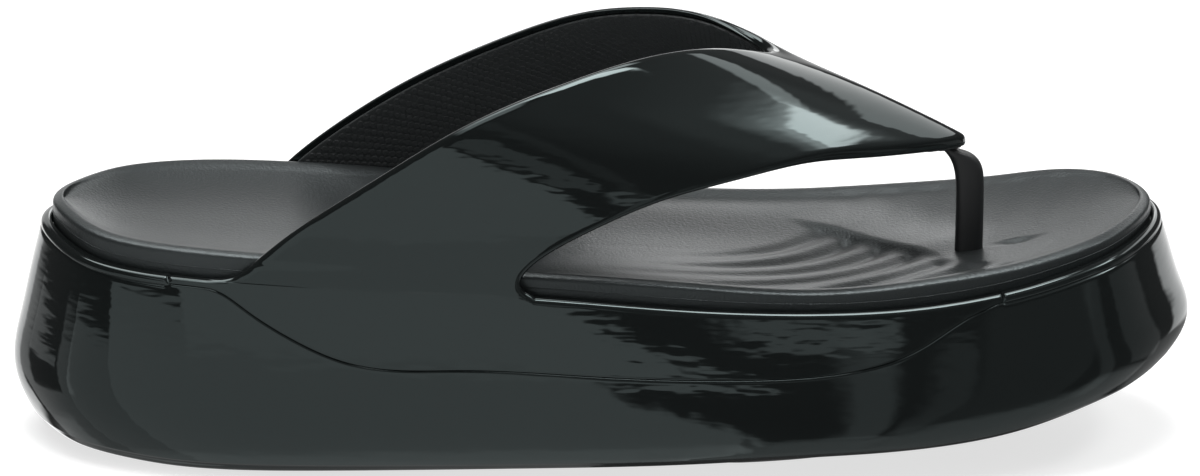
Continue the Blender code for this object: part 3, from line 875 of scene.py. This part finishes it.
def make_sheet(name, face, facing, present, top, bottom, radius):
    """A wall between two depths below a grid, where its points are present, with rounded edges."""
    quads = grid_quads(present)
    sides = open_sides(quads)
    distance = edge_distance(sides, face)
    radius = np.broadcast_to(radius, present.shape)
    fall = rounded(distance, radius)
    inner_fall = rounded(distance, np.minimum(radius, bottom - top - radius))
    count = int(present.sum())
    numbers = np.full(present.shape, -1)
    numbers[present] = np.arange(count)
    outer = face - facing * (top + fall)[:, :, None]
    inner = face - facing * (bottom - inner_fall)[:, :, None]
    vertices = np.concatenate((outer[present], inner[present]))
    faces = []
    for quad in quads:
        corners = [int(numbers[corner]) for corner in quad]
        faces.append(tuple(corners))
        faces.append(tuple(number + count for number in reversed(corners)))
    for a, b in sides:
        low = int(numbers[a])
        high = int(numbers[b])
        faces.append((high, low, low + count, high + count))
    return make_piece(name, vertices, faces)


# Shallow crease across the foot of the inner arm, deepest at its rear
FOOT_CREASE_DEPTH = 0.4
FOOT_CREASE_FALL = (47.6, 49.2)
FOOT_CREASE_RISE = (49.2, 60.0)
FOOT_CREASE_FADE = (-72.0, -40.0)


def foot_crease(face):
    x, y, z = np.moveaxis(face, 2, 0)
    step = smooth(*FOOT_CREASE_FALL, z) * (1 - smooth(*FOOT_CREASE_RISE, z))
    return FOOT_CREASE_DEPTH * step * (y < 0.0) * (1 - smooth(*FOOT_CREASE_FADE, x))


def flange_grid(side, places, steps):
    """Outer face of a flange and its outward directions, from its lower line to the rim."""
    edge = side_edge(side, places)
    lines = []
    for step in steps:
        share = edge.flange_share + (1.0 - edge.flange_share) * step
        lines.append(edge.ring(edge.wall_offset(share), edge.wall_height(share)))
    outwards = np.column_stack((edge.normals, np.zeros(len(places))))
    return np.array(lines), np.broadcast_to(outwards, (len(steps),) + outwards.shape)


def edge_radius(places, steps, rise):
    """Rounding of the upper's edges: tight along the flange's joint, rolled behind and at the nose."""
    turn = smooth(0.0, 1.0, rise)
    flange_part = FLANGE_ROUND + (FLANGE_TOP_ROUND - FLANGE_ROUND) * steps
    strap_part = FLANGE_TOP_ROUND + (STRAP_ROUND - FLANGE_TOP_ROUND) * turn[len(steps):-len(steps)]
    radius = np.concatenate((flange_part, strap_part, flange_part[::-1]))[:, None]
    across = (places - ARM_REAR_X) / (ARM_FRONT_X - ARM_REAR_X)
    rear = 1 - smooth(0.0, ROLL_COLUMNS, across)
    front = smooth(1.0 - ROLL_COLUMNS, 1.0, across)
    nose = 1 - smooth(NOSE_FULL, NOSE_END, STRAP_TIP - rise)
    rolled = np.maximum(rear[None, :] * turn[:, None], front[None, :] * nose[:, None])
    return radius + (ROLL_ROUND - radius) * rolled


def make_upper():
    arm = graded(ARM_REAR_X, ARM_FRONT_X, COLUMN_PITCH)
    tail = graded(FLANGE_REAR_X, ARM_REAR_X, COLUMN_PITCH, TAIL_EDGE_SCALE)[:-1]
    front = graded(ARM_FRONT_X, FLANGE_FRONT_X, COLUMN_PITCH)[1:]
    places = np.concatenate((tail, arm, front))
    is_arm = (places >= ARM_REAR_X) & (places <= ARM_FRONT_X)
    steps = graded(0.0, FLANGE_HEIGHT, ROW_PITCH) / FLANGE_HEIGHT
    inner_face, inner_facing = flange_grid("inner", places, steps)
    outer_face, outer_facing = flange_grid("outer", places, steps)
    rows = np.linspace(0.0, STRAP_LAST, STRAP_LAST * SECTION_STEPS + 1)
    grid = strap_face(rows, (arm - ARM_REAR_X) / (ARM_FRONT_X - ARM_REAR_X))
    arm_face = np.zeros((len(rows) - 2, len(places), 3))
    arm_facing = np.zeros_like(arm_face)
    arm_face[:, is_arm] = grid[1:-1]
    arm_facing[:, is_arm] = strap_facing(grid, rows)[1:-1]
    face = np.concatenate((inner_face, arm_face, outer_face[::-1]))
    facing = np.concatenate((inner_facing, arm_facing, outer_facing[::-1]))
    present = np.ones(face.shape[:2], dtype=bool)
    present[len(steps):-len(steps)] = is_arm
    rise = np.zeros(len(face))
    rise[len(steps):-len(steps)] = np.minimum(rows, STRAP_LAST - rows)[1:-1]
    bottom = WALL + (SHELL - WALL) * smooth(0.0, 1.0, rise)[:, None]
    radius = edge_radius(places, steps, rise)
    face = face - facing * foot_crease(face)[:, :, None]
    return make_sheet("strap_and_flanges", face, facing, present, 0.0, bottom, radius)


def strap_material():
    return gloss_material("gloss strap", {
        "Stretch": (0.25, 0.25, 1.0),
        "Peel Scale": 600.0,
        "Peel Depth": 0.00004,
        "Wave Scale": 50.0,
        "Wave Depth": 0.00006,
    })


upper = make_upper()
upper.data.materials.append(strap_material())
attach(upper, "root")
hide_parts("upper")

# The lining is a thin matte textile bonded to the inside of the strap.
# It stops short of the strap's edges, whose rolled lips show round it.
LINING = 0.8
LINING_REAR = 2.0
LINING_FRONT = 0.4
LINING_ROUND = 0.3
LINING_START = 0.45
LINING_PITCH = 1.5
LINING_WIDTH = 60.0


def make_lining():
    rows = np.linspace(LINING_START, STRAP_LAST - LINING_START, STRAP_LAST * SECTION_STEPS)
    ends = strap_face(rows, np.array((0.0, 0.5, 1.0)))
    width = np.linalg.norm(np.diff(ends, axis=1), axis=2).sum(axis=1)
    steps = graded(0.0, LINING_WIDTH, LINING_PITCH) / LINING_WIDTH
    low = (LINING_REAR / width)[:, None]
    high = 1.0 - (LINING_FRONT / width)[:, None]
    face = strap_face(rows, low + (high - low) * steps)
    facing = strap_facing(face, rows)
    present = np.ones(face.shape[:2], dtype=bool)
    return make_sheet("strap_lining", face, facing, present, SHELL, SHELL + LINING, LINING_ROUND)


def lining_material():
    material, shader = matte_material("lining textile", {"Grain Scale": 1800.0, "Grain Depth": 0.00006})
    shader.inputs["Base Color"].default_value = (0.032, 0.036, 0.037, 1.0)
    shader.inputs["Roughness"].default_value = 0.6
    return material


lining = make_lining()
lining.data.materials.append(lining_material())
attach(lining, "root")

# The lining's face is a net of small flat scales, pressed into the textile in brick order.
# Each scale is a low six-sided frustum that grows out of the lining's inner face.
SCALE_ROW_PITCH = 2.1
SCALE_COLUMNS = 34
SCALE_MARGIN = 0.03
SCALE_RADIUS = 0.98
SCALE_TOP = 0.62
SCALE_HEIGHT = 0.2
SCALE_ROOT = 0.05
SCALE_SIDES = 6
SCALE_SAMPLES = 400


def scale_group(material):
    """A scale on every point of a guide, turned to the guide's normal."""
    group, given, result = new_geometry("scales", {
        "Sides": "NodeSocketInt", "Radius": "NodeSocketFloat",
        "Top": "NodeSocketFloat", "Height": "NodeSocketFloat",
    })
    scale = add_node(group, "GeometryNodeMeshCone", {
        "Vertices": given.outputs["Sides"], "Radius Bottom": given.outputs["Radius"],
        "Radius Top": given.outputs["Top"], "Depth": given.outputs["Height"],
    })
    normal = add_node(group, "GeometryNodeInputNormal")
    turned = add_node(group, "FunctionNodeAlignRotationToVector", {
        "Vector": normal.outputs["Normal"],
    }, axis="Z")
    placed = add_node(group, "GeometryNodeInstanceOnPoints", {
        "Points": given.outputs["Geometry"], "Instance": scale.outputs["Mesh"],
        "Rotation": turned.outputs["Rotation"],
    })
    end_geometry(group, result, placed.outputs["Instances"], material)
    return group


def make_scales():
    fine = np.linspace(LINING_START, STRAP_LAST - LINING_START, SCALE_SAMPLES)
    middle = strap_face(fine, np.array((0.5,)))[:, 0]
    reach = np.concatenate(((0.0,), np.cumsum(np.linalg.norm(np.diff(middle, axis=0), axis=1))))
    count = int(reach[-1] / SCALE_ROW_PITCH)
    rows = np.interp(np.linspace(SCALE_ROW_PITCH, reach[-1] - SCALE_ROW_PITCH, count), reach, fine)
    pitch = (1.0 - 3 * SCALE_MARGIN) / SCALE_COLUMNS
    brick = np.where(np.arange(count) % 2 == 0, 0.0, pitch / 2)[:, None]
    shares = 2 * SCALE_MARGIN + pitch * np.arange(SCALE_COLUMNS)[None, :] + brick
    face = strap_face(rows, shares)
    points = face - strap_facing(face, rows) * (SHELL + LINING - SCALE_ROOT)
    faces = []
    for r in range(count - 1):
        for low in range(r * SCALE_COLUMNS, (r + 1) * SCALE_COLUMNS - 1):
            high = low + SCALE_COLUMNS
            faces.append((low, high, high + 1, low + 1))
    group = scale_group(lining.data.materials[0])
    return grow("lining_scales", points.reshape(-1, 3), [], faces, group, {
        "Sides": SCALE_SIDES, "Radius": SCALE_RADIUS * MM,
        "Top": SCALE_TOP * MM, "Height": SCALE_HEIGHT * MM,
    })


scales = make_scales()
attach(scales, "root")

# The toe post is one flexible moulding, matte black: a flat band that rises out of the footbed
# and bends back into a thin tongue, which is bonded under the tip of the strap.
TONGUE = 1.4
TONGUE_REACH = 2.0
TONGUE_REAR = 0.45
TONGUE_FRONT = 0.97
TONGUE_ROUND = 0.6
TONGUE_ROWS = 60
TONGUE_WIDTH = 25.0
POST_Y = -9.4
POST_WIDTH = 5.0
POST_TOP_WIDTH = 3.4
POST_TOP_FRONT_X = 79.8
POST_TOP_REAR_X = 73.2
POST_TOP_SINK = 0.5
POST_SECTIONS = 44
POST_SIDES = 28
POST_SQUARENESS = 3.2
POST_VOXEL = 0.4
POST_EVEN = 0.5
POST_EVEN_ROUNDS = 6

# Sections of the post's band from the footbed upwards: its front and rear points
post = columns(("front_x", "front_z", "rear_x", "rear_z"), (
    (86.6, 40.6, 80.2, 40.6),
    (86.6, 58.5, 80.2, 58.5),
    (86.4, 61.6, 79.9, 61.4),
    (85.6, 63.8, 79.1, 64.0),
    (84.0, 65.4, 77.6, 66.2),
))


def make_tongue():
    """The tongue under the strap's tip, and the line of its underside where the band joins."""
    rows = np.linspace(STRAP_TIP - TONGUE_REACH, STRAP_TIP + TONGUE_REACH, TONGUE_ROWS)
    steps = graded(0.0, TONGUE_WIDTH, COLUMN_PITCH)
    shares = TONGUE_REAR + (TONGUE_FRONT - TONGUE_REAR) * steps / TONGUE_WIDTH
    face = strap_face(rows, shares)
    facing = strap_facing(face, rows)
    present = np.ones(face.shape[:2], dtype=bool)
    top = WALL + GAP
    ridge = (face - facing * (top + TONGUE))[len(rows) // 2]
    tongue = make_sheet("toe_post_moulding", face, facing, present, top, top + TONGUE, TONGUE_ROUND)
    return tongue, ridge


def make_band(ridge):
    """The band through the sections of the table and one more that sinks into the tongue."""
    top_x = np.array((POST_TOP_FRONT_X, POST_TOP_REAR_X))
    top_z = np.interp(top_x, ridge[:, 0], ridge[:, 2]) + POST_TOP_SINK
    fronts = np.column_stack((np.append(post["front_x"], top_x[0]), np.append(post["front_z"], top_z[0])))
    rears = np.column_stack((np.append(post["rear_x"], top_x[1]), np.append(post["rear_z"], top_z[1])))
    strides = np.linalg.norm(np.diff((fronts + rears) / 2, axis=0), axis=1)
    reach = np.concatenate(((0.0,), np.cumsum(strides)))
    places = np.linspace(0.0, reach[-1], POST_SECTIONS)
    front = spline(reach, fronts, places)
    rear = spline(reach, rears, places)
    width = np.interp(places, (reach[-2], reach[-1]), (POST_WIDTH, POST_TOP_WIDTH))
    turn = np.linspace(0.0, 2 * np.pi, POST_SIDES, endpoint=False)
    square = 2.0 / POST_SQUARENESS
    along = np.sign(np.cos(turn)) * np.abs(np.cos(turn)) ** square
    across = np.sign(np.sin(turn)) * np.abs(np.sin(turn)) ** square
    vertices = []
    for k in range(POST_SECTIONS):
        middle = (front[k] + rear[k]) / 2
        half = (front[k] - rear[k]) / 2
        for a, b in zip(along, across):
            x, z = middle + half * a
            vertices.append((x, POST_Y + b * width[k] / 2, z))
    last = (POST_SECTIONS - 1) * POST_SIDES
    faces = [tuple(range(POST_SIDES)), tuple(range(last, last + POST_SIDES))]
    for first in range(0, last, POST_SIDES):
        for k in range(POST_SIDES):
            low = first + k
            beside = first + (k + 1) % POST_SIDES
            faces.append((low, beside, beside + POST_SIDES, low + POST_SIDES))
    return make_piece("toe_post_band", vertices, faces)


def make_toe_post():
    """Tongue and band joined, with a soft fillet where they meet."""
    tongue, ridge = make_tongue()
    band = make_band(ridge)
    union = tongue.modifiers.new("joined", "BOOLEAN")
    union.operation = "UNION"
    union.solver = "EXACT"
    union.object = band
    remesh = tongue.modifiers.new("one skin", "REMESH")
    remesh.mode = "VOXEL"
    remesh.voxel_size = POST_VOXEL * MM
    even = tongue.modifiers.new("even", "SMOOTH")
    even.factor = POST_EVEN
    even.iterations = POST_EVEN_ROUNDS
    shown = tongue.evaluated_get(bpy.context.evaluated_depsgraph_get())
    mesh = bpy.data.meshes.new_from_object(shown)
    tongue.modifiers.clear()
    tongue.data = mesh
    mesh.shade_smooth()
    bpy.data.objects.remove(band, do_unlink=True)
    return tongue


def post_material():
    material, shader = matte_material("matte post", {"Grain Scale": 1600.0, "Grain Depth": 0.00003})
    shader.inputs["Base Color"].default_value = (0.012, 0.0132, 0.014, 1.0)
    shader.inputs["Roughness"].default_value = 0.5
    return material


toe_post = make_toe_post()
toe_post.data.materials.append(post_material())
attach(toe_post, "root")
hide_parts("toe_post")

# The stage is a wide pale floor that glows a little, so that it stays nearly white round the shoe.
# The gloss doesn't mirror it: the light from below comes from the studio's own lower walls.
FLOOR_SIZE = 200.0
FLOOR_GLOW = 0.7


def make_floor():
    mesh = bpy.data.meshes.new("floor")
    half = FLOOR_SIZE / 2
    corners = [(-half, -half, 0.0), (half, -half, 0.0), (half, half, 0.0), (-half, half, 0.0)]
    mesh.from_pydata(corners, [], [(0, 1, 2, 3)])
    floor = bpy.data.objects.new("floor", mesh)
    bpy.context.scene.collection.objects.link(floor)
    material, tree, shader = new_material("pale floor")
    shader.inputs["Base Color"].default_value = (0.45, 0.45, 0.45, 1.0)
    shader.inputs["Roughness"].default_value = 0.9
    shader.inputs["Emission Color"].default_value = (1.0, 1.0, 1.0, 1.0)
    shader.inputs["Emission Strength"].default_value = FLOOR_GLOW
    mesh.materials.append(material)
    floor.visible_glossy = False
    return floor


make_floor()

# The light is a studio of white walls and soft lamps round the shoe, given by direction:
# azimuth from the camera's side, positive towards the toe, and elevation above the floor.
# The gaps between them stay dark, which gives the gloss its torn dark patches.
BACKDROP = 1.0
STUDIO_DARK = 0.07
LAMP_HORIZON = 0.05

# Walls and the lit floor they stand on: limits in degrees, how far they lean with height,
# blur of their edges, and brightness
walls = columns(("left", "right", "low", "high", "lean", "blur", "power"), (
    (-60.0, -4.2, -91.0, 0.0, 0.16, 0.6, 0.78),
    (-60.0, -30.0, 0.0, 3.0, 0.80, 0.6, 0.75),
    (-30.0, 1.8, 0.0, 34.0, 0.80, 0.6, 0.88),
    (3.4, 9.0, 10.5, 24.0, 0.80, 0.6, 0.38),
    (0.5, 13.0, 7.5, 10.5, 0.0, 0.8, 0.70),
    (13.0, 17.0, 4.0, 40.0, 0.80, 1.5, 0.10),
    (-90.0, -60.0, -91.0, -1.5, 0.16, 0.8, 0.56),
    (-140.0, -90.0, -91.0, -19.0, 0.16, 1.5, 0.42),
    (-103.0, -90.0, -19.0, -3.0, 0.4, 1.5, 0.42),
    (-128.0, -103.0, -8.0, -5.5, 0.0, 0.6, 0.45),
    (-140.0, -128.0, -19.0, -6.0, 0.0, 1.5, 0.50),
    (-181.0, -140.0, -28.0, -6.0, 0.0, 2.0, 1.40),
    (-181.0, -100.0, -91.0, -34.0, 0.0, 4.0, 0.30),
    (-100.0, 0.0, -91.0, -54.0, 0.0, 4.0, 0.25),
    (6.0, 13.0, -55.0, 7.0, 0.08, 1.5, 0.38),
    (17.0, 21.0, -50.0, 8.0, 0.05, 1.2, 0.18),
    (57.0, 66.0, -45.0, 10.0, 0.45, 2.0, 0.20),
    (79.0, 112.0, -26.0, 8.0, 0.60, 2.0, 0.20),
    (129.0, 172.0, -16.0, -2.0, 0.0, 2.0, 1.30),
    (120.0, 172.0, -40.0, -16.0, 0.0, 3.0, 0.22),
    (3.0, 24.0, -91.0, -54.0, 0.0, 5.0, 0.55),
    (24.0, 70.0, -91.0, -39.0, 0.0, 7.0, 0.52),
    (70.0, 125.0, -91.0, -31.0, 0.0, 5.0, 0.48),
    (172.0, 181.0, -6.0, 28.0, 0.0, 4.0, 0.90),
    (-181.0, -150.0, -6.0, 28.0, 0.0, 5.0, 0.90),
    (-10.0, 175.0, 32.0, 91.0, 0.0, 12.0, 0.15),
    (22.0, 57.0, -35.0, 12.0, 0.0, 2.0, 0.09),
))

# Lamps: middle and turn in degrees, half sizes and blur at a distance of one, and brightness
lamps = columns(("azimuth", "elevation", "tilt", "half_length", "half_width", "blur", "power"), (
    (91.0, 52.6, 2.0, 0.155, 0.085, 0.020, 6.0),
    (87.0, 53.5, 3.0, 0.20, 0.095, 0.050, 3.0),
    (83.0, 55.5, 4.0, 0.27, 0.12, 0.08, 1.4),
    (80.0, 58.0, 0.0, 0.60, 0.22, 0.15, 0.20),
    (128.0, 57.0, -9.0, 0.22, 0.045, 0.012, 2.3),
    (152.0, 30.0, -34.0, 0.62, 0.105, 0.012, 1.8),
    (-85.0, 68.0, 0.0, 0.60, 0.15, 0.05, 2.0),
    (-150.0, 66.0, 0.0, 0.30, 0.24, 0.03, 4.0),
    (0.0, 90.0, 45.0, 0.20, 0.20, 0.02, 12.0),
))


def calculate(tree, operation, *values):
    """Result of a math node."""
    return add_node(tree, "ShaderNodeMath", dict(enumerate(values)), operation=operation).outputs[0]


def window(tree, value, low, high, blur):
    """1 between two limits, with blurred ends."""
    rise = add_node(tree, "ShaderNodeMapRange", {
        "Value": value, "From Min": low - blur, "From Max": low + blur,
    }, interpolation_type="SMOOTHSTEP")
    fall = add_node(tree, "ShaderNodeMapRange", {
        "Value": value, "From Min": high - blur, "From Max": high + blur, "To Min": 1.0, "To Max": 0.0,
    }, interpolation_type="SMOOTHSTEP")
    return calculate(tree, "MULTIPLY", rise.outputs[0], fall.outputs[0])


def lamp_axes(azimuth, elevation, tilt):
    """Direction to a lamp and its two axes."""
    turn = math.radians(azimuth)
    rise = math.radians(elevation)
    middle = Vector((math.cos(rise) * math.sin(turn), -math.cos(rise) * math.cos(turn), math.sin(rise)))
    level = Vector((math.cos(turn), math.sin(turn), 0.0))
    upright = middle.cross(level)
    lean = math.radians(tilt)
    along = level * math.cos(lean) + upright * math.sin(lean)
    across = upright * math.cos(lean) - level * math.sin(lean)
    return middle, along, across


def wall_light(tree, azimuth, height, left, right, low, high, lean, blur):
    """1 inside a wall's limits, which lean with height."""
    leaned = calculate(tree, "MULTIPLY_ADD", height, lean, azimuth)
    wide = window(tree, leaned, left, right, blur)
    tall = window(tree, height, low, high, blur)
    return calculate(tree, "MULTIPLY", wide, tall)


def lamp_light(tree, way, azimuth, elevation, tilt, half_length, half_width, blur):
    """1 on the face of a flat lamp that looks at the shoe."""
    ahead, along, across = (
        add_node(tree, "ShaderNodeVectorMath", {0: way, 1: axis}, operation="DOT_PRODUCT").outputs["Value"]
        for axis in lamp_axes(azimuth, elevation, tilt)
    )
    in_front = calculate(tree, "GREATER_THAN", ahead, LAMP_HORIZON)
    distance = calculate(tree, "MAXIMUM", ahead, LAMP_HORIZON)
    wide = window(tree, calculate(tree, "DIVIDE", along, distance), -half_length, half_length, blur)
    tall = window(tree, calculate(tree, "DIVIDE", across, distance), -half_width, half_width, blur)
    return calculate(tree, "MULTIPLY", calculate(tree, "MULTIPLY", wide, tall), in_front)


def make_studio():
    world = bpy.data.worlds.new("studio")
    bpy.context.scene.world = world
    world.use_nodes = True
    tree = world.node_tree
    way = add_node(tree, "ShaderNodeTexCoord").outputs["Generated"]
    parts = add_node(tree, "ShaderNodeSeparateXYZ", {"Vector": way})
    towards = calculate(tree, "MULTIPLY", parts.outputs["Y"], -1.0)
    azimuth = calculate(tree, "DEGREES", calculate(tree, "ARCTAN2", parts.outputs["X"], towards))
    height = calculate(tree, "DEGREES", calculate(tree, "ARCSINE", parts.outputs["Z"]))
    total = STUDIO_DARK
    for *place, power in zip(*walls.values()):
        total = calculate(tree, "MULTIPLY_ADD", wall_light(tree, azimuth, height, *place), power, total)
    for *place, power in zip(*lamps.values()):
        total = calculate(tree, "MULTIPLY_ADD", lamp_light(tree, way, *place), power, total)
    seen = add_node(tree, "ShaderNodeLightPath").outputs["Is Camera Ray"]
    shown = add_node(tree, "ShaderNodeMix", {0: seen, 2: total, 3: BACKDROP}, data_type="FLOAT")
    tree.links.new(shown.outputs[0], tree.nodes["Background"].inputs["Color"])


make_studio()

# The camera looks at the inner side of the shoe from a little above, as a catalogue picture does:
# square to the shoe's length, with its scale given in pixels of the picture for each millimetre.
CAMERA_TARGET = Vector((0.0, 0.0, 0.04338))
CAMERA_DISTANCE = 1.1
CAMERA_ELEVATION = math.radians(15.0)
CAMERA_SENSOR = 36.0
IMAGE_WIDTH = 1200
PIXELS_PER_MM = 4.38


def make_camera():
    data = bpy.data.cameras.new("camera")
    camera = bpy.data.objects.new("camera", data)
    bpy.context.scene.collection.objects.link(camera)
    back = Vector((0.0, -math.cos(CAMERA_ELEVATION), math.sin(CAMERA_ELEVATION)))
    camera.location = CAMERA_TARGET + back * CAMERA_DISTANCE
    camera.rotation_euler = (-back).to_track_quat("-Z", "Y").to_euler()
    data.sensor_width = CAMERA_SENSOR
    data.lens = PIXELS_PER_MM / MM * CAMERA_DISTANCE / IMAGE_WIDTH * CAMERA_SENSOR
    bpy.context.scene.camera = camera


make_camera()
bpy.context.scene.view_settings.view_transform = "Standard"
